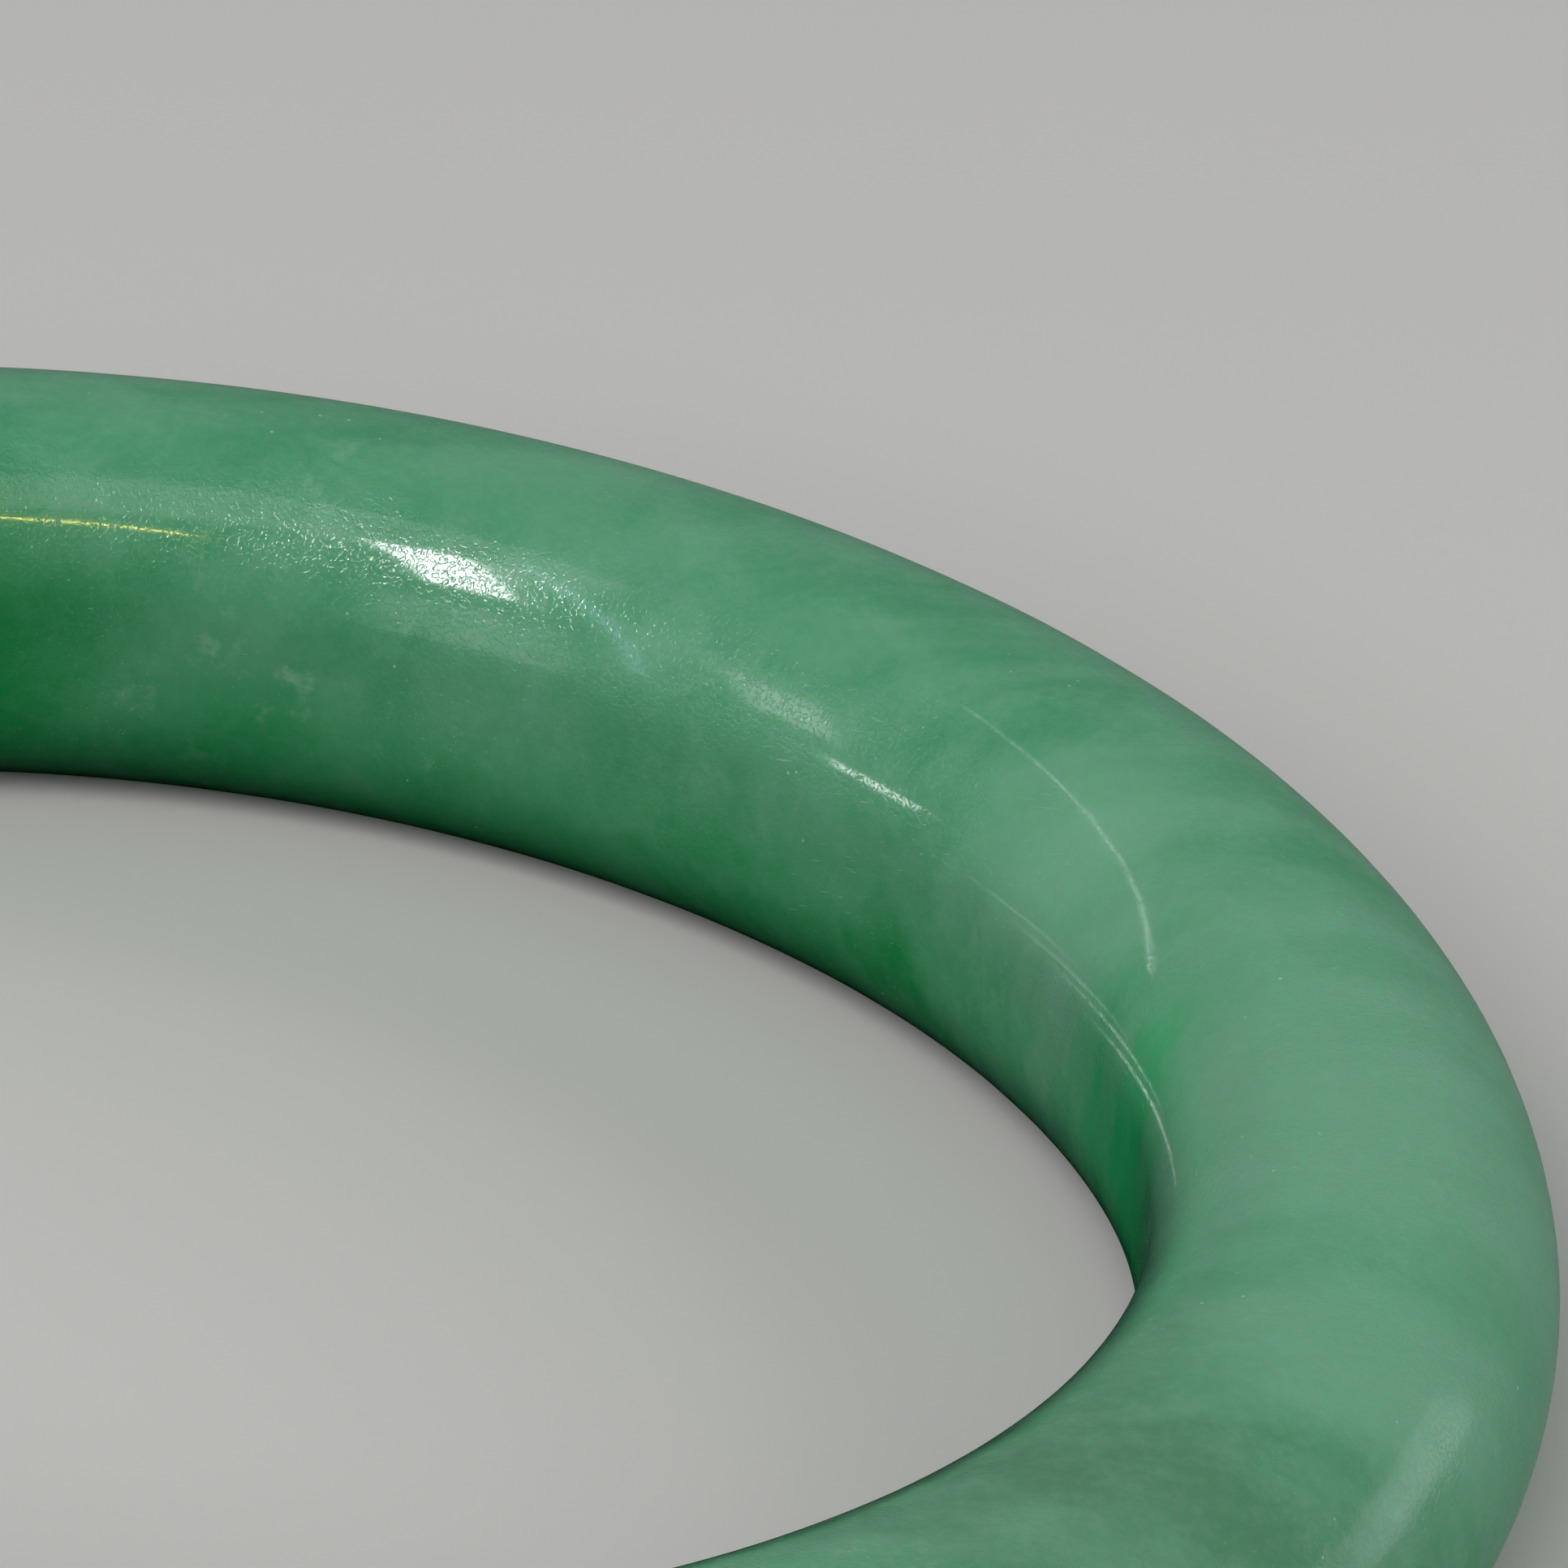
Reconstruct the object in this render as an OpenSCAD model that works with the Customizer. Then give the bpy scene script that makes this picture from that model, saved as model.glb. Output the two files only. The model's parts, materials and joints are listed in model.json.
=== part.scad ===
// Solid stone bangle bracelet: one closed ring that slides over the hand.
// The ring lies flat on z = 0 and its axis is the Z axis, so the origin is the
// centre of the circle that it rests on.
//
// The cross-section is the "comfort" shape of a carved bangle. The outside is a
// full half circle. The bore has two large rounded edges, and a short straight
// wall between them that sits against the wrist.

/* [Size] */
// Inside diameter, the size that a bangle is sold by
inner_d = 56; // [50:0.5:66]
// Thickness of the stone, from the bore to the outside
thickness = 10.5; // [10.3:0.1:14]
// Height of the ring along its axis
height = 11.2; // [9.4:0.1:11.4]

/* [Edges] */
// Radius of the two rounded edges of the bore
bore_edge_r = 4.3; // [3:0.1:4.5]

/* [Hidden] */

// Facets of a full turn in the preview
$fn = 180;

bore_r = inner_d / 2;
outer_r = bore_r + thickness;
// The outside is round from top to bottom
outer_round_r = height / 2;
// Distance from the axis to the middle of each rounding
bore_edge_x = bore_r + bore_edge_r;
outer_round_x = outer_r - outer_round_r;
// The narrow flat lands on which the ring rests, either way up
land_w = outer_round_x - bore_edge_x;
// The straight part of the bore
bore_wall_h = height - 2 * bore_edge_r;

// One cut through the ring, with x as the distance from the axis
module ring_section() {
    // Full round outside, of which only the outer half is stone
    intersection() {
        translate([outer_round_x, height / 2])
            circle(r = outer_round_r);
        translate([outer_round_x, 0])
            square([outer_round_r, height]);
    }
    // Rounded lower and upper edges of the bore
    for (z = [bore_edge_r, height - bore_edge_r])
        translate([bore_edge_x, z])
            circle(r = bore_edge_r);
    // Body between the roundings, which ends in the two flat lands
    translate([bore_edge_x, 0])
        square([land_w, height]);
    // Straight wall of the bore
    translate([bore_r, bore_edge_r])
        square([bore_edge_r, bore_wall_h]);
}

module jade_ring() {
    color("#5f9c78")
        rotate_extrude()
            ring_section();
}

jade_ring();
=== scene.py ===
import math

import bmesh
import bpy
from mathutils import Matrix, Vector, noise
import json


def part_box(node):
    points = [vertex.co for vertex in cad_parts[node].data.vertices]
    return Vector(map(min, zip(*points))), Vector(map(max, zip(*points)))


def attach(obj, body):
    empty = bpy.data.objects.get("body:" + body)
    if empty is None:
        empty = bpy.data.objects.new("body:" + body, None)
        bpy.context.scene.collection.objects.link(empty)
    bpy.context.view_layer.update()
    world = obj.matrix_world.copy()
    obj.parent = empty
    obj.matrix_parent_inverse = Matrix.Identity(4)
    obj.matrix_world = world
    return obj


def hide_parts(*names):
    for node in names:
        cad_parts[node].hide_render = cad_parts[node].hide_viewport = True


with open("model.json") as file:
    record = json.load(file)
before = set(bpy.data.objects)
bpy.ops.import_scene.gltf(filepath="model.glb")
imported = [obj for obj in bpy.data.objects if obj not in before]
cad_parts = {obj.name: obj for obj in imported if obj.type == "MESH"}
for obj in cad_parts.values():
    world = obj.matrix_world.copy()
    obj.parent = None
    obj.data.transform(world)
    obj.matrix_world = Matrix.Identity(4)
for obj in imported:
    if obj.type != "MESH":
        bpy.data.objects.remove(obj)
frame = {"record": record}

# %% [markdown]
# # A jade bangle
#
# The object is one closed ring of polished jade. It has no clasp, no metal and no second piece,
# so everything that a viewer sees comes from three things: the shape of its cross-section, the
# stone's own colour, and the way its polish mirrors the studio.
#
# The steps below measure the ring, turn its section in stone, mix the stone, and light it. Blender
# works in metres. Sizes are easier to think of in millimetres, so they are multiplied by MM.

MM = 0.001
low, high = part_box("jade_ring")
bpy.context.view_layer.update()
bore = frame["record"]["mounts"][0]
bore_r = bore["dims"]["r_mm"] * MM
bore_wall = bore["dims"]["length_mm"] * MM
outer_r = high.x
height = high.z - low.z
print(f"inside {2 * bore_r / MM:.1f} mm, outside {2 * outer_r / MM:.1f} mm, height {height / MM:.1f} mm")

# %% [markdown]
# ## The section
#
# A carver saws a thick washer from the slab, drills its core out, and grinds every corner away.
# The outside ends up fully round. The bore keeps a short straight wall between two softer edges.
#
# The section could be drawn point by point, but then a change of size would mean new points. So it
# starts here as a plain rectangle, and its four corners are beveled by the distance that the carver
# took off each one. A bevel with a profile of 0.5 is a true arc. Only the outline is kept, because
# the next step sweeps it round the axis.

# %% A tool for the corners
ARC_STEPS = 22
SAME_PLACE = 1e-7
outer_round = height / 2
bore_round = (height - bore_wall) / 2
print(f"outside rounded by {outer_round / MM:.1f} mm, bore edges by {bore_round / MM:.1f} mm")


def round_corners(mesh, is_inner, radius):
    """Bevels the section's corners on the bore's side, or on the outer side."""
    middle = (bore_r + outer_r) / 2
    corners = [v for v in mesh.verts if len(v.link_edges) == 2 and (v.co.x < middle) == is_inner]
    at_ends = [v for v in corners if min(abs(v.co.z - low.z), abs(v.co.z - high.z)) < SAME_PLACE]
    bmesh.ops.bevel(mesh, geom=at_ends, offset=radius, offset_type="OFFSET", segments=ARC_STEPS,
                    profile=0.5, affect="VERTICES", material=-1, clamp_overlap=False)
    bmesh.ops.remove_doubles(mesh, verts=mesh.verts, dist=SAME_PLACE)


# %% The rectangle, with its corners rounded
LONG_EDGE = 1.2 * MM
WALL_CUTS = 7
section = bmesh.new()
bmesh.ops.create_grid(section, x_segments=1, y_segments=1, size=0.5)
stand_up = Matrix.Rotation(math.radians(90), 4, "X")
stretch = Matrix.Diagonal((outer_r - bore_r, 1, height, 1))
to_ring = Matrix.Translation(((bore_r + outer_r) / 2, 0, (low.z + high.z) / 2))
bmesh.ops.transform(section, matrix=to_ring @ stretch @ stand_up, verts=section.verts)
round_corners(section, True, bore_round)
round_corners(section, False, outer_round)
bmesh.ops.delete(section, geom=section.faces[:], context="FACES_ONLY")
straight = [e for e in section.edges if e.calc_length() > LONG_EDGE]
bmesh.ops.subdivide_edges(section, edges=straight, cuts=WALL_CUTS)
print(f"{len(section.verts)} points round the section")

# %% [markdown]
# ## The turned ring
#
# Spinning the outline round the Z axis is what a lathe does. A full spin in fine steps takes a
# while, because each step works on all that is there already. So a twelfth of the ring is spun,
# and then copied and turned until the ring is closed. Points that meet are merged, and only then
# are the faces turned outwards, because a spin can leave them pointing in.

# %% Spin the section
SECTORS = 12
SECTOR_STEPS = 60
SEAM = 1e-6
bmesh.ops.spin(section, geom=section.verts[:] + section.edges[:], axis=(0, 0, 1), cent=(0, 0, 0),
               angle=math.tau / SECTORS, steps=SECTOR_STEPS)
sector = section.verts[:] + section.edges[:] + section.faces[:]
for number in range(1, SECTORS):
    copied = bmesh.ops.duplicate(section, geom=sector)["geom"]
    points = [part for part in copied if isinstance(part, bmesh.types.BMVert)]
    turn = Matrix.Rotation(math.tau * number / SECTORS, 3, "Z")
    bmesh.ops.rotate(section, verts=points, cent=(0, 0, 0), matrix=turn)
bmesh.ops.remove_doubles(section, verts=section.verts, dist=SEAM)
bmesh.ops.recalc_face_normals(section, faces=section.faces)
section.normal_update()
print(f"{len(section.faces)} faces, volume {section.calc_volume(signed=True) / MM ** 3:.0f} mm3")

# %% [markdown]
# ## The polisher's swell
#
# A bangle is polished by hand against a leather wheel, and its surface keeps a faint swell of a
# few hundredths of a millimetre. It can't be felt, but it is why the reflections on a real stone
# have a wandering edge. A bump in the material could give it too, but a swell this long belongs to
# the shape. So each point is moved along its normal by three smooth noises, the longest the deepest.

# %% Swell the surface
SWELLS = ((11 * MM, 0.030 * MM), (4 * MM, 0.007 * MM), (1.6 * MM, 0.0012 * MM))


def swell_at(place):
    """How far hand polishing left the surface above or below the true shape."""
    return sum(depth * noise.noise(place / length) for length, depth in SWELLS)


moves = [(v, v.normal * swell_at(v.co)) for v in section.verts]
for vert, move in moves:
    vert.co += move
for face in section.faces:
    face.smooth = True
print(f"largest swell {max(move.length for _, move in moves) / MM:.3f} mm")

# %% [markdown]
# ## The ring takes its place
#
# The finished mesh becomes an object at the origin. It rides on the only body and stands in for the
# packed ring, which is hidden.

# %% The ring as an object


def put_in_scene(name, shape):
    """Turns a bmesh into an object of that name, at the origin."""
    mesh = bpy.data.meshes.new(name)
    shape.to_mesh(mesh)
    shape.free()
    made = bpy.data.objects.new(name, mesh)
    bpy.context.scene.collection.objects.link(made)
    return made


ring = put_in_scene("polished_jade_ring", section)
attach(ring, "root")
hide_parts("jade_ring")
print(f"{ring.name} has {len(ring.data.vertices)} points")

# %% [markdown]
# ## A way to write shader sums
#
# A stone's material is mostly sums on patterns, and sums are easier to read than a web of nodes.
# `Value` wraps one output of a node, and Python's own operators add the Math nodes. Every other
# node comes from `make`, which sets the node's settings first and then its sockets.

# %% One way to make any node


def socket_named(sockets, name):
    """A socket by number, or the one of that name that the node's settings leave in use."""
    if isinstance(name, int):
        return sockets[name]
    return next(s for s in sockets if s.name == name and s.enabled)


def make(tree, kind, settings, inputs, out=0):
    """Adds a shader node and returns one of its outputs as a Value, if it has outputs."""
    node = tree.nodes.new("ShaderNode" + kind)
    for name, setting in settings.items():
        setattr(node, name, setting)
    for name, given in inputs.items():
        socket = socket_named(node.inputs, name)
        if isinstance(given, Value):
            tree.links.new(given.socket, socket)
        else:
            socket.default_value = given
    if len(node.outputs) == 0:
        return None
    return Value(tree, socket_named(node.outputs, out))


# %% The socket wrapper


class Value:
    """One output of a shader node, which takes part in sums."""

    def __init__(self, tree, socket):
        self.tree = tree
        self.socket = socket

    def worked(self, operation, first, second):
        """One Math node on two numbers, of which at least one is a Value."""
        return make(self.tree, "Math", {"operation": operation}, {0: first, 1: second})

    def __add__(self, other):
        return self.worked("ADD", self, other)

    def __sub__(self, other):
        return self.worked("SUBTRACT", self, other)

    def __rsub__(self, other):
        return self.worked("SUBTRACT", other, self)

    def __mul__(self, other):
        return self.worked("MULTIPLY", self, other)

    def or_more(self, other):
        """The larger of the two, which joins masks without adding them up past 1."""
        return self.worked("MAXIMUM", self, other)

    __radd__ = __add__
    __rmul__ = __mul__


# %% [markdown]
# Three helpers are enough for the whole stone. One grows a cloudy noise, with its lumps given in
# millimetres. One cuts soft-edged patches out of it. One tints a colour where a patch lies. The
# shift moves a noise somewhere else in space, so that no two patterns lie on top of each other.

# %% Patterns that the stone is mixed from


def grown(place, size, detail=3.0, roughness=0.5, warp=0.0, shift=0.0):
    """Cloudy noise whose lumps are about size millimetres across."""
    moved = make(place.tree, "VectorMath", {"operation": "ADD"}, {0: place, 1: (shift,) * 3})
    inputs = {"Vector": moved, "Scale": 1 / size, "Detail": detail, "Roughness": roughness,
              "Distortion": warp}
    return make(place.tree, "TexNoise", {"noise_dimensions": "3D"}, inputs)


def between(value, start, end):
    """0 below start, 1 above end and smooth between, to cut soft-edged patches out of a noise."""
    settings = {"interpolation_type": "SMOOTHSTEP"}
    inputs = {"Value": value, "From Min": start, "From Max": end}
    return make(value.tree, "MapRange", settings, inputs)


def tinted(amount, plain, colour):
    """The plain colour, turned to the other one by amount."""
    inputs = {"Factor": amount, "A": plain, "B": colour}
    return make(amount.tree, "Mix", {"data_type": "RGBA"}, inputs, "Result")


# %% [markdown]
# ## The stone
#
# Jadeite is a felt of tiny crystals. Light goes a millimetre or so into it, scatters, and comes
# back green, which gives the soft milky glow. What the eye reads as jade is the unevenness:
#
# - a milky green ground,
# - patches where chromium makes it emerald,
# - white clouds and small tufts of floss, where the felt is dense,
# - faint parallel fibres, because the felt grew under pressure in one direction,
# - white specks no bigger than a grain of flour.
#
# The ring was cut from one block, so the pattern is worked out in space and not on the surface.
# It goes right through the stone, and the fibres cross the ring on one side and follow it on
# another, as they do in a real one.

# %% Where a point is in the block
GRAIN_TURN = math.radians(8)
GRAIN_STRETCH = (4.0, 1.0, 2.0)


def blank_finish(name):
    """A material with no nodes in it yet."""
    finish = bpy.data.materials.new(name)
    finish.use_nodes = True
    finish.node_tree.nodes.clear()
    return finish


jade = blank_finish("jade")
tree = jade.node_tree
metres = make(tree, "TexCoord", {}, {}, "Object")
place = make(tree, "VectorMath", {"operation": "SCALE"}, {0: metres, "Scale": 1 / MM})
up_in_block = make(tree, "SeparateXYZ", {}, {"Vector": place}, "Z")
flat_place = make(tree, "VectorMath", {"operation": "MULTIPLY"}, {0: place, 1: (1, 1, 0)})
from_axis = make(tree, "VectorMath", {"operation": "LENGTH"}, {0: flat_place}, "Value")
along_grain = make(tree, "Mapping", {"vector_type": "TEXTURE"},
                   {"Vector": place, "Rotation": (0, 0, GRAIN_TURN), "Scale": GRAIN_STRETCH})
print(f"the fibres run {math.degrees(GRAIN_TURN):.0f} degrees off the X axis")

# %% [markdown]
# ## The large patches
#
# Noise alone would put the emerald anywhere. A carver chooses where it falls, and so does this
# step: each large patch is a soft ball of colour in the block. The four numbers are its angle round
# the ring in degrees, its distance from the axis, its height and its radius in millimetres. Its
# edge is made ragged by the fibres' own noise.

# %% A ball of colour in the block
RAGGED = 0.9
SOLID_CORE = 0.15


def ball(angle, reach, up, radius):
    """1 at the middle of a soft ball inside the block, and 0 outside it, with a ragged edge."""
    turned = math.radians(angle)
    centre = (reach * math.cos(turned), reach * math.sin(turned), up)
    away = make(tree, "VectorMath", {"operation": "DISTANCE"}, {0: place, 1: centre}, "Value")
    ragged = away + (grown(along_grain, size=radius / 2, detail=2.0) - 0.5) * radius * RAGGED
    return 1 - between(ragged, SOLID_CORE * radius, radius)


def patches(balls):
    """Several balls together."""
    together = ball(*balls[0])
    for one in balls[1:]:
        together = together.or_more(ball(*one))
    return together


# %% Patches placed one by one
emerald_spots = patches([(104, 27, 3, 13), (37, 27, 3, 4), (215, 33, 4, 10)])
apple_spots = patches([(7, 27, 5, 6.5), (-128, 33, 9, 9)])
milky_spots = patches([(-6, 33, 9, 12), (24, 29, 9, 6), (-24, 35, 10, 8), (-105, 33, 8, 13),
                       (165, 33, 6, 9)])
dusky_spots = patches([(-43, 33, 9, 15), (128, 33, 8, 12), (250, 30, 5, 9)])
tufty_spots = patches([(77, 28, 7, 8), (-60, 30, 9, 9), (190, 30, 8, 9)])
print(f"{len(tree.nodes)} nodes place the large patches")

# %% [markdown]
# ## The small patterns
#
# Each small pattern is one noise with its middle cut out softly and its strength turned down. They
# differ in the size of their lumps: clouds of 9 mm, mottle of 2.6 mm, fibres of 2 mm drawn out
# along the grain, tufts of 1.4 mm, and a sugary grain of 0.35 mm that shows the felt itself. Tufts
# gather where their large patches are, and are faint elsewhere.

# %% Clouds, mottle, fibres, sugar and tufts
cloud_noise = grown(place, size=9, detail=3.0, roughness=0.5, warp=0.4, shift=17.0)
cloud = between(cloud_noise, 0.36, 0.70) * 0.30
mottle_noise = grown(place, size=2.6, detail=6.0, roughness=0.66, warp=0.3, shift=31.0)
mottle = between(mottle_noise, 0.38, 0.72) * 0.36
fibre_noise = grown(along_grain, size=2.0, detail=2.0, roughness=0.45, warp=0.1, shift=5.0)
fibre = between(fibre_noise, 0.36, 0.68) * 0.26
sugar_noise = grown(place, size=0.35, detail=3.0, roughness=0.6, shift=12.0)
sugar = between(sugar_noise, 0.40, 0.70) * 0.07
tuft_noise = grown(place, size=1.4, detail=5.0, roughness=0.66, warp=0.2, shift=64.0)
tuft = between(tuft_noise, 0.56, 0.76) * (0.10 + 0.55 * tufty_spots)
print("five small patterns grown")

# %% [markdown]
# The bore is painted deep green low down, as painted shade. Little light gets there, and what comes
# out has gone a long way through the stone. A glow can't be exported, so this shade is painted into
# the colour, from the height and the distance to the axis. One broad ball is painted light: it thins
# the painted shade where the light from the left reaches in. Emerald and apple green are clear stone,
# so the pale patterns fade out in them, and in the painted shade too.

# %% Painted shade: deep green low in the bore
STARTS_BELOW_TOP = 2.5
FULL_BELOW_TOP = 9.0
FADES_OUT_AT = 32.0
FULL_AT = 28.5
# Painted light: a ball that thins the painted shade where the light from the left reaches in.
painted_light_from_left = ball(14, 27, 4, 16)
painted_shade_by_height = between(height / MM - up_in_block, STARTS_BELOW_TOP, FULL_BELOW_TOP)
# Painted shade: a deep green mask low in the bore, from the height and the distance to the axis.
painted_shade_low_in_bore = painted_shade_by_height * between(from_axis, FADES_OUT_AT, FULL_AT) * (1 - 0.55 * painted_light_from_left)
# The emerald patches and the painted shade share one mask.
emerald_and_painted_shade = (emerald_spots * 0.97).or_more(painted_shade_low_in_bore * 0.68)
pale = 1 - 0.85 * emerald_and_painted_shade.or_more(apple_spots * 0.9)
print(f"deep green starts {STARTS_BELOW_TOP} mm below the top")

# %% [markdown]
# ## The mixed colour
#
# The ground comes first, and everything else is laid over it as glazes are: the clouds, the large
# patches, and the fine patterns last, so that they lie across the patches too. The number after
# each large patch is how much of its colour shows in its middle.

# %% Lay the colours over each other
GROUND = (0.074, 0.325, 0.165, 1)
# This green serves both the emerald patches and the painted shade low in the bore.
EMERALD_AND_PAINTED_SHADE = (0.001, 0.220, 0.048, 1)
APPLE = (0.010, 0.430, 0.135, 1)
DUSK = (0.095, 0.235, 0.138, 1)
MILK = (0.205, 0.455, 0.305, 1)
FLOSS = (0.340, 0.540, 0.410, 1)

colour = tinted(cloud * pale, GROUND, MILK)
colour = tinted(milky_spots * 0.75, colour, MILK)
colour = tinted(dusky_spots * 0.9, colour, DUSK)
colour = tinted(apple_spots * 0.9, colour, APPLE)
# Emerald patches, and the painted shade low in the bore, in the same green.
colour = tinted(emerald_and_painted_shade, colour, EMERALD_AND_PAINTED_SHADE)
colour = tinted(fibre * pale, colour, MILK)
colour = tinted(mottle * pale, colour, MILK)
colour = tinted(sugar * pale, colour, FLOSS)
colour = tinted(tuft * pale, colour, FLOSS)
print(f"{len(tree.nodes)} nodes so far")

# %% [markdown]
# ## White specks
#
# Here and there a single crystal is white right through. A Voronoi texture scatters points evenly,
# and the distance to the nearest one, cut off close to zero, leaves one dot at each. A fine noise
# makes the dots ragged, and a coarse one keeps them to a few regions.

# %% Specks
SPECK = (0.640, 0.780, 0.640, 1)
SPECKS_PER_MM = 1.3
to_speck = make(tree, "TexVoronoi", {"feature": "F1"},
                {"Vector": place, "Scale": SPECKS_PER_MM, "Randomness": 1.0}, "Distance")
ragged_dots = to_speck + 0.06 * (grown(place, size=0.12, detail=2.0) - 0.5)
speckled = between(grown(place, size=6, detail=2.0, shift=50.0), 0.52, 0.64)
speck = (1 - between(ragged_dots, 0.03, 0.08)) * speckled
colour = tinted(speck * 0.5, colour, SPECK)
print(f"a speck every {1 / SPECKS_PER_MM:.1f} mm where the stone is speckled")

# %% [markdown]
# ## Hairline scratches
#
# A worn bangle has hairline scratches, in patches where it has rubbed. They are a noise that is
# drawn out along one direction and cut off near its top, so that only a few hairs stay. The same
# mask makes them a little paler, rougher and deeper than the polish around them.

# %% Scratches
HAIR = (3.5, 0.05, 0.05)
HAIR_TURN = (0.2, 0.3, 2.4)
hair_place = make(tree, "Mapping", {"vector_type": "TEXTURE"},
                  {"Vector": place, "Rotation": HAIR_TURN, "Scale": HAIR})
hairs = between(grown(hair_place, size=1.0, detail=0.0), 0.78, 0.84)
rubbed = between(grown(place, size=7, detail=1.0, shift=80.0), 0.5, 0.6)
scratch = hairs * rubbed
colour = tinted(scratch * 0.2, colour, SPECK)
print(f"each hair is about {HAIR[0]} mm long")

# %% [markdown]
# ## The polish
#
# The crystals of the felt differ a little in hardness, so the polishing wheel plucks some of them
# out and leaves a very fine "orange peel" of pits. It breaks the edge of a bright reflection into
# grains, and elsewhere can hardly be seen. The pits are bump and not shape, because they are a few
# thousandths of a millimetre deep. How glossy the wheel left the stone varies a little as well.

# %% Pits and roughness
PIT_DEPTH = 0.007 * MM
pits = between(grown(place, size=0.12, detail=1.0), 0.48, 0.62)
pitted = between(grown(place, size=5, detail=2.0, shift=9.0), 0.35, 0.65)
relief = pits * (0.35 + 0.65 * pitted) + scratch
bump = make(tree, "Bump", {"invert": True},
            {"Height": relief, "Strength": 1.0, "Distance": PIT_DEPTH}, "Normal")
wheel_marks = grown(place, size=3, detail=3.0, roughness=0.6, shift=70.0)
roughness = 0.055 + 0.06 * wheel_marks + 0.1 * scratch
print(f"pits up to {PIT_DEPTH / MM} mm deep")

# %% [markdown]
# ## The shader
#
# Subsurface scattering carries light about a millimetre through the stone, green the furthest.
# Jadeite's index of refraction is 1.66. With that alone, a dim mirror image of the whole room would
# lie over the deep greens like a veil. So the specular level is half of its usual 0.5, and the
# lamps that should show in the polish are made brighter instead.

# %% The finished jade
stone = make(tree, "BsdfPrincipled", {}, {
    "Base Color": colour,
    "Roughness": roughness,
    "Normal": bump,
    "IOR": 1.66,
    "Specular IOR Level": 0.25,
    "Subsurface Weight": 1.0,
    "Subsurface Scale": 1.4 * MM,
    "Subsurface Radius": (0.5, 1.5, 0.8),
}, "BSDF")
make(tree, "OutputMaterial", {}, {"Surface": stone})
ring.data.materials.append(jade)
print(f"{len(tree.nodes)} nodes in the jade")

# %% [markdown]
# ## The camera
#
# A ring 77 mm across is taken from a quarter of a metre away through a long lens, looking down
# at about thirty degrees. Only the far side and the right side are in the frame. The camera's turn
# is built from three plain rotations, which is easier to follow than one set of Euler angles.

# %% Camera
CAMERA_BACK = 221.9 * MM
CAMERA_UP = 132.0 * MM
TURNED_RIGHT = math.radians(4.576)
TILTED_DOWN = math.radians(27.235)
ROLLED = math.radians(6.064)
LENS_MM = 231.9
SENSOR_MM = 36
NEAREST_SEEN = 0.01

camera_data = bpy.data.cameras.new("camera")
camera_data.lens = LENS_MM
camera_data.sensor_width = SENSOR_MM
camera_data.clip_start = NEAREST_SEEN
camera = bpy.data.objects.new("camera", camera_data)
bpy.context.scene.collection.objects.link(camera)
bpy.context.scene.camera = camera
eye = Vector((0, -CAMERA_BACK, CAMERA_UP))
aim = Matrix.Rotation(-TURNED_RIGHT, 4, "Z") @ Matrix.Rotation(math.radians(90) - TILTED_DOWN, 4, "X")
camera.matrix_world = Matrix.Translation(eye) @ aim @ Matrix.Rotation(ROLLED, 4, "Z")
print(f"camera {eye.length / MM:.0f} mm from the ring's middle")

# %% [markdown]
# ## The studio
#
# A polished surface shows its lamps. Moving a lamp about until its reflection looks right takes
# many tries. So each lamp is placed from where its reflection should lie on the stone: an angle
# round the ring, and how far the surface has turned up there. The line of sight is mirrored at that
# point, and the lamp stands along it. Its size is given as the angle that it covers, in degrees,
# and its brightness as the radiance of its face.
#
# The work is split in two. Narrow lamps are seen only in the polish, and broad soft fills light
# the stone and the floor but aren't mirrored. Either kind can then be changed on its own.

# %% A place on the stone


def stone_point(angle, upturn):
    """A point on the stone and its normal. An upturn of 0 is the bore's wall, and 90 the top."""
    turned = math.radians(angle)
    up = math.radians(upturn)
    outward = Vector((math.cos(turned), math.sin(turned), 0))
    normal = math.sin(up) * Vector((0, 0, 1)) - math.cos(up) * outward
    is_bore = upturn < 90
    radius = bore_round if is_bore else outer_round
    reach = bore_r + bore_round if is_bore else outer_r - outer_round
    return outward * reach + Vector((0, 0, high.z - radius)) + normal * radius, normal


# %% A lamp placed by its reflection
LAMP_AWAY = 0.8


def lamp(name, angle, upturn, wide, tall, radiance, tint=(1, 1, 1), away=LAMP_AWAY, spread=180):
    """A flat lamp whose reflection lies at that place on the stone, seen only in the polish."""
    spot, normal = stone_point(angle, upturn)
    mirrored = (spot - eye).normalized().reflect(normal)
    data = bpy.data.lights.new(name, "AREA")
    data.shape = "RECTANGLE"
    data.size = 2 * away * math.tan(math.radians(wide) / 2)
    data.size_y = 2 * away * math.tan(math.radians(tall) / 2)
    data.energy = radiance * math.pi * data.size * data.size_y
    data.color = tint
    data.spread = math.radians(spread)
    made = bpy.data.objects.new(name, data)
    made.location = spot + away * mirrored
    made.rotation_euler = mirrored.to_track_quat("Z", "Y").to_euler()
    made.visible_camera = False
    made.visible_diffuse = False
    bpy.context.scene.collection.objects.link(made)
    azimuth = math.degrees(math.atan2(mirrored.y, mirrored.x))
    print(f"{name}: azimuth {azimuth:.0f}, elevation {math.degrees(math.asin(mirrored.z)):.0f}")
    return made


# %% [markdown]
# The far rim of the bore is where the studio shows best. A bright softbox makes the main highlight,
# and a large dim one the pale band above the bore's edge. Three strips draw fine lines: a warm one
# on the left, a bluish one that curves down beside the highlight, and one on the right.

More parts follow.
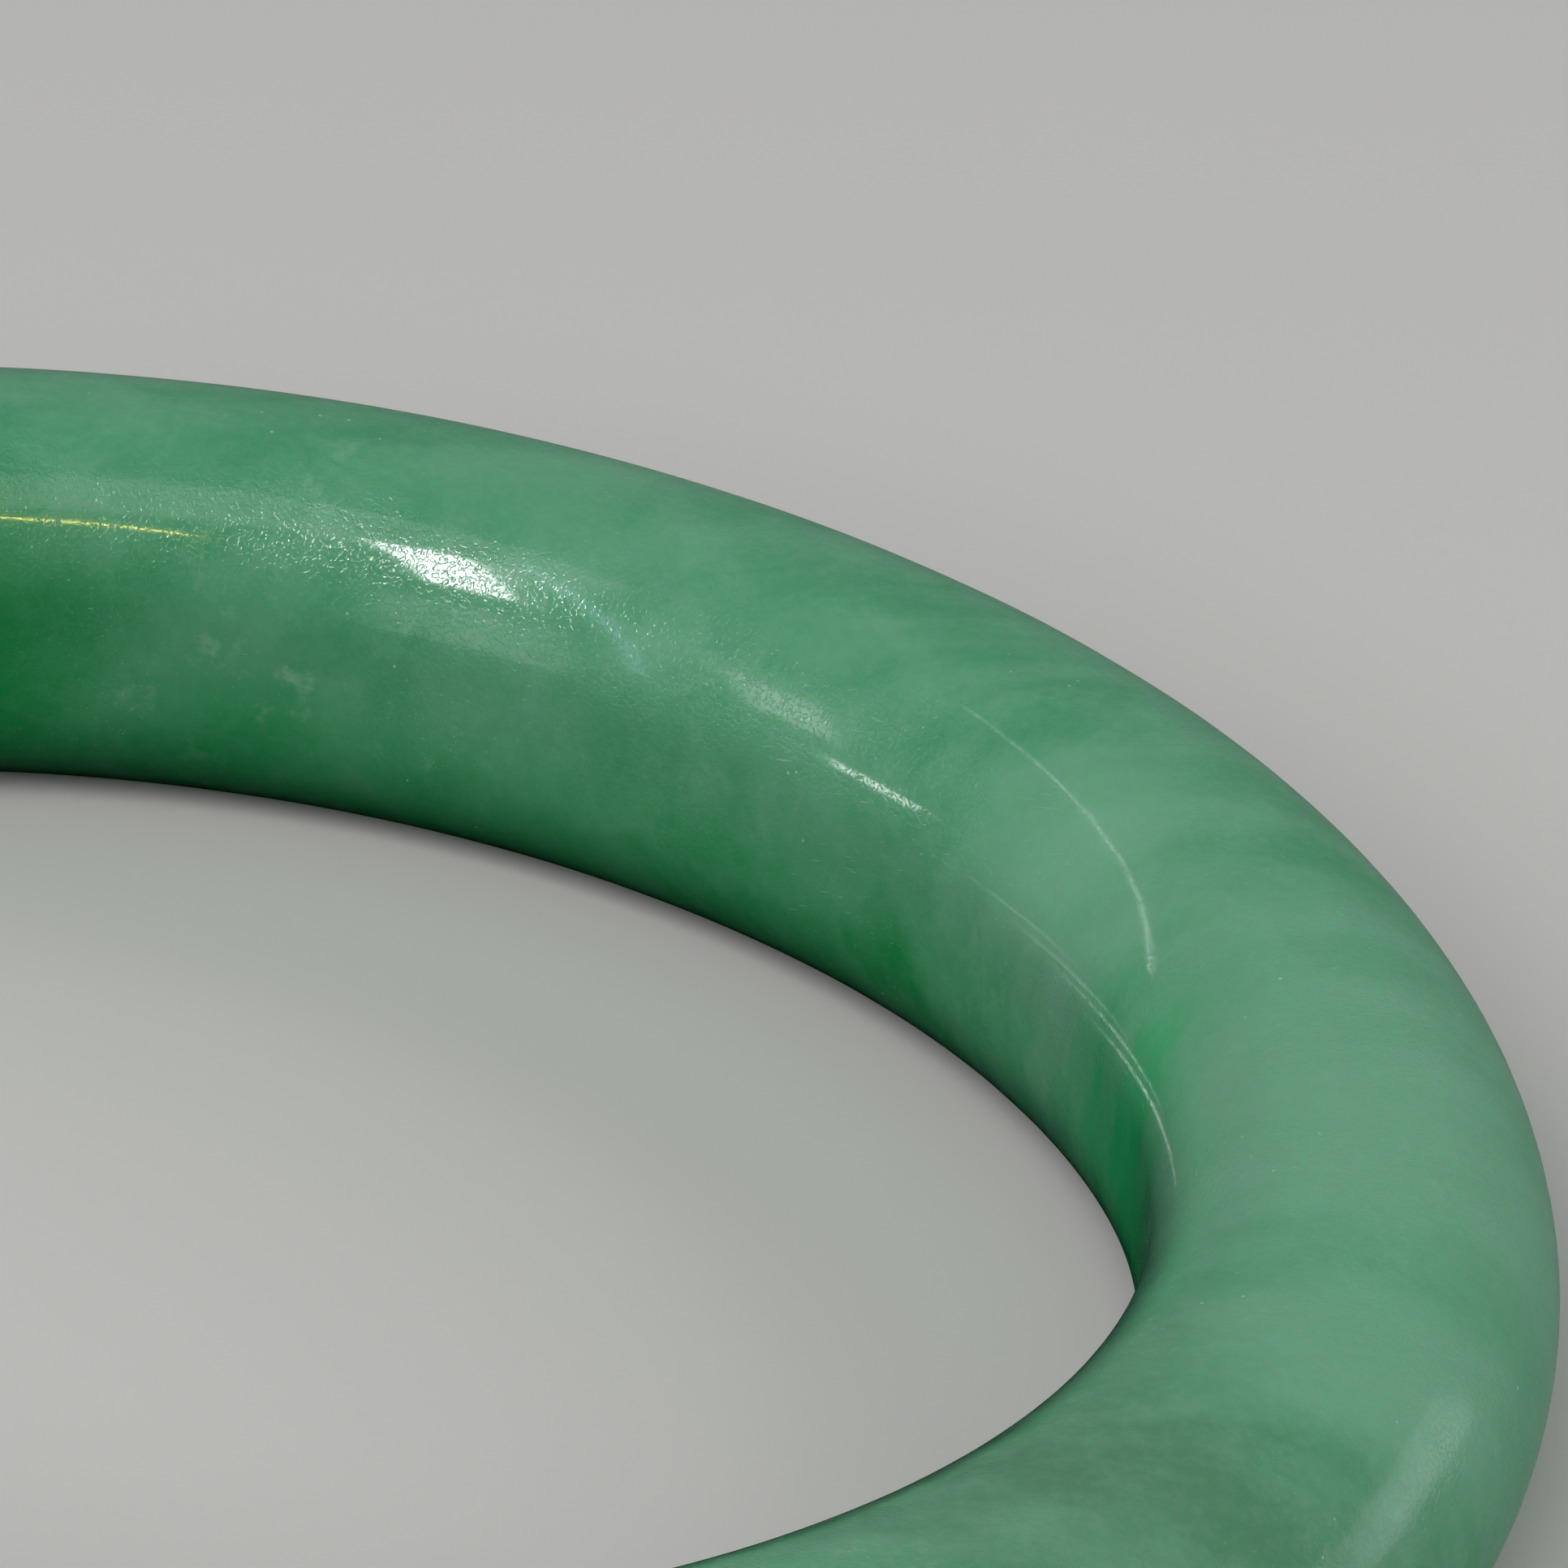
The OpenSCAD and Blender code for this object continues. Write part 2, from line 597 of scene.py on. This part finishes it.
# %% Lamps for the polish
WARM = (1.0, 0.84, 0.14)
BLUISH = (0.55, 0.8, 1.0)
lamp("key_softbox", angle=69.5, upturn=35.3, wide=8, tall=21, radiance=42)
lamp("ceiling_softbox", angle=84, upturn=44, wide=60, tall=26, radiance=1.8)
lamp("warm_strip", angle=95.5, upturn=32.6, wide=36, tall=0.9, radiance=52, tint=WARM)
lamp("blue_strip", angle=59.5, upturn=32, wide=2.0, tall=50, radiance=5, tint=BLUISH)
lamp("far_strip", angle=20, upturn=50.5, wide=0.9, tall=40, radiance=6)

# %% [markdown]
# Three highlights on the real stone fade out softly. A flat lamp has a hard edge, so each of these
# is three lamps of growing size in the same place, which share the brightness between them.

# %% Lamps with soft edges
SIZE_AND_SHARE = ((0.6, 0.4), (1.0, 0.35), (1.5, 0.25))
for size, share in SIZE_AND_SHARE:
    lamp("left_card", angle=52, upturn=32.5, wide=18 * size, tall=10 * size, radiance=2.0 * share)
    lamp("left_glint", angle=47.4, upturn=28, wide=8 * size, tall=11 * size, radiance=12 * share)
    lamp("low_right_lamp", angle=-29.5, upturn=144, wide=15 * size, tall=10 * size,
         radiance=3.0 * share)

# %% [markdown]
# The bore looks across the hole at its own far side, which hides any lamp beyond it. Lamps for the
# bore stand inside the ring, like the small mirrors that a studio props up next to a jewel. Four of
# them make the fine line along the rim, where light that gathers low in a real bore is mirrored.
# Their light is kept in a narrow beam, so that the rest of the bore doesn't mirror them.

# %% Lamps inside the ring
INSIDE = 42 * MM
NEAR_RIM = 15 * MM
RIM_LINE = ((5, 14.6), (12, 12.4), (19, 11.2), (26, 11.6))
lamp("low_left_lamp", angle=37.6, upturn=18.7, wide=13, tall=4, radiance=13, away=INSIDE)
lamp("dim_card", angle=67, upturn=16, wide=14, tall=30, radiance=1.8, away=INSIDE)
for angle, upturn in RIM_LINE:
    lamp("rim_line", angle, upturn, wide=13, tall=1.4, radiance=0.05, away=NEAR_RIM, spread=30)

# %% [markdown]
# The fills give the stone and the floor their light. They are as broad as a window, so the shadow
# is soft. They are left out of the polish, because two more bright squares in it would hide the
# finer reflections.

# %% Broad soft fills
top_fill = lamp("top_fill", angle=76, upturn=33, wide=40, tall=38, radiance=5.6)
right_fill = lamp("right_fill", angle=-30, upturn=125, wide=40, tall=40, radiance=2.8)
for fill in (top_fill, right_fill):
    fill.visible_diffuse = True
    fill.visible_glossy = False

# %% [markdown]
# ## The floor
#
# The floor is a sheet of pale paper, wide enough for its edge to be lost in the distance. Mirrored
# in the stone, it would wash out the deep greens, so it isn't mirrored.

# %% Floor
FLOOR_ACROSS = 40
FLOOR_TONE = (0.62, 0.61, 0.59, 1)
sheet = bmesh.new()
bmesh.ops.create_grid(sheet, x_segments=1, y_segments=1, size=FLOOR_ACROSS / 2)
floor = put_in_scene("floor", sheet)
paper = blank_finish("floor_paper")
matt = make(paper.node_tree, "BsdfPrincipled", {}, {"Base Color": FLOOR_TONE, "Roughness": 0.7}, "BSDF")
make(paper.node_tree, "OutputMaterial", {}, {"Surface": matt})
floor.data.materials.append(paper)
floor.visible_glossy = False
print(f"floor {FLOOR_ACROSS} m across")

# %% [markdown]
# ## The black card
#
# Polished stone on a bright table looks grey from below, and a studio cures that with a black card
# beside it, which the lower bore then mirrors. Here the card lies inside the ring. It is hidden from
# the camera and casts no shadow. Seen from underneath it is clear, so that light on its way up from
# the paper passes through it, and the paper stays pale.

# %% The card's shape
CARD_R = bore_r + 3 * MM
CARD_UP = 0.1 * MM
CARD_SIDES = 180
disc = bmesh.new()
bmesh.ops.create_circle(disc, cap_ends=True, segments=CARD_SIDES, radius=CARD_R)
bmesh.ops.translate(disc, vec=(0, 0, CARD_UP), verts=disc.verts)
card = put_in_scene("black_card", disc)
card.visible_camera = False
card.visible_shadow = False
print(f"the card faces up: {card.data.polygons[0].normal.z > 0}")

# %% The card's finish
card_black = blank_finish("card_black")
card_tree = card_black.node_tree
dark = make(card_tree, "Emission", {}, {"Strength": 0.0}, "Emission")
clear = make(card_tree, "BsdfTransparent", {}, {}, "BSDF")
from_below = make(card_tree, "NewGeometry", {}, {}, "Backfacing")
one_sided = make(card_tree, "MixShader", {}, {0: from_below, 1: dark, 2: clear})
make(card_tree, "OutputMaterial", {}, {"Surface": one_sided})
card.data.materials.append(card_black)
print("the card is black above and clear below")

# %% [markdown]
# ## The room
#
# The room is what the stone mirrors where there is no lamp: dim walls above, and below the horizon
# a dull green-grey about as bright as the stone, so that its outline is neither lit nor black. Only
# the camera sees the pale backdrop, which meets the paper far behind the ring.

# %% The room's walls
ROOM_TONE = (0.12, 0.125, 0.13, 1)
BELOW_TONE = (0.12, 0.17, 0.14, 1)
room = bpy.data.worlds.new("room")
room.use_nodes = True
room_tree = room.node_tree
room_tree.nodes.clear()
looking = make(room_tree, "TexCoord", {}, {}, "Generated")
upward = make(room_tree, "SeparateXYZ", {}, {"Vector": looking}, "Z")
walls = tinted(between(upward, -0.05, 0.15), BELOW_TONE, ROOM_TONE)
straight_on = make(room_tree, "LightPath", {}, {}, "Is Camera Ray")
backdrop = tinted(straight_on, walls, FLOOR_TONE)
glow = make(room_tree, "Background", {}, {"Color": backdrop}, "Background")
make(room_tree, "OutputWorld", {}, {"Surface": glow})
bpy.context.scene.world = room
bpy.context.scene.view_settings.view_transform = "Standard"
print(f"{len(room_tree.nodes)} nodes in the room")

# %% [markdown]
# ## The sizes
#
# A finished piece should take up the same room as the imported one.

# %% The sizes
import json
